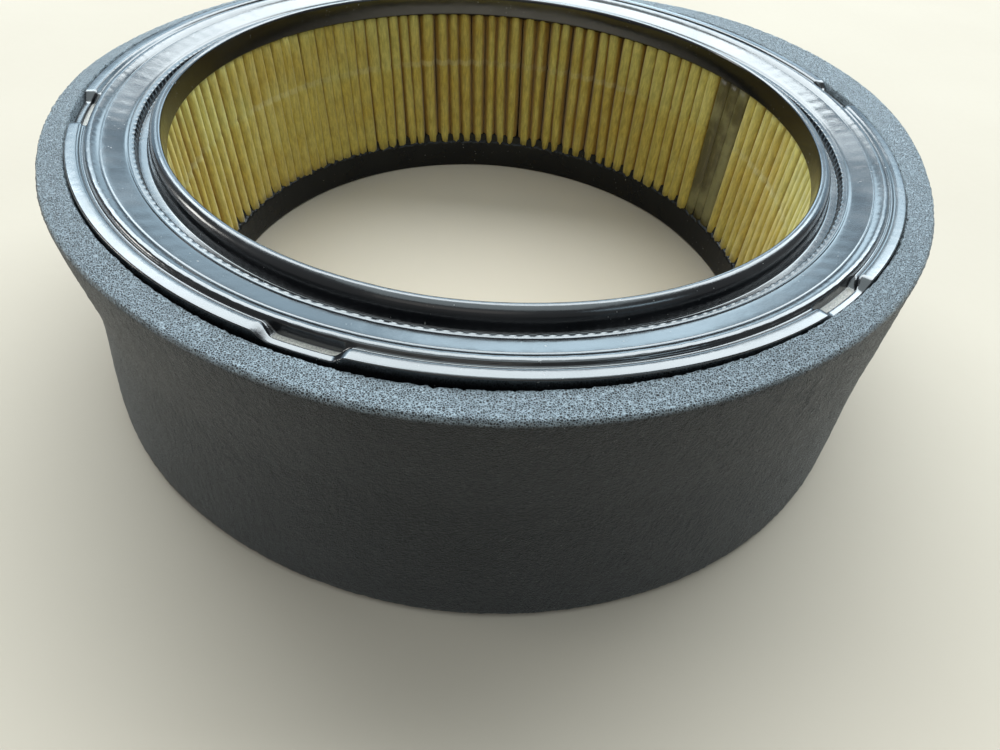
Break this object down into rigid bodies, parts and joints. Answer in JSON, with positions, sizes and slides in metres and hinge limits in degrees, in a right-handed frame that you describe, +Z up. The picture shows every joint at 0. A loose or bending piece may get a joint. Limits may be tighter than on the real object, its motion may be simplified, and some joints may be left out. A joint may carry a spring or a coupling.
{
  "type": "air filter element",
  "caption": "Round pleated-paper air filter element with moulded rubber end caps, a wire support screen and a slip-on foam pre-cleaner sleeve.",
  "frame": {"origin": "centre of the ring, on the surface that it stands on", "axes": "+Z up along the ring's axis, +X and +Y across it; the rim's notches are at 15.5 degrees from +X and every 60 degrees on"},
  "size_m": [0.1912, 0.1912, 0.055],
  "materials": {
    "cap_rubber": "gloss",
    "filter_paper": "matte",
    "bonded_paper": "satin",
    "screen_wire": "satin",
    "foam": "matte"
  },
  "bodies": {
    "element": {"top_end_cap": "cap_rubber", "bottom_end_cap": "cap_rubber", "pleated_paper": "filter_paper", "pleat_splice": "bonded_paper", "support_screen": "screen_wire"},
    "precleaner": {"foam_precleaner": "foam"}
  },
  "joints": [
    {"name": "precleaner_slide", "type": "slide", "parent": "element", "child": "precleaner", "axis": [0, 0, 1], "range_m": [0, 0.06]}
  ]
}
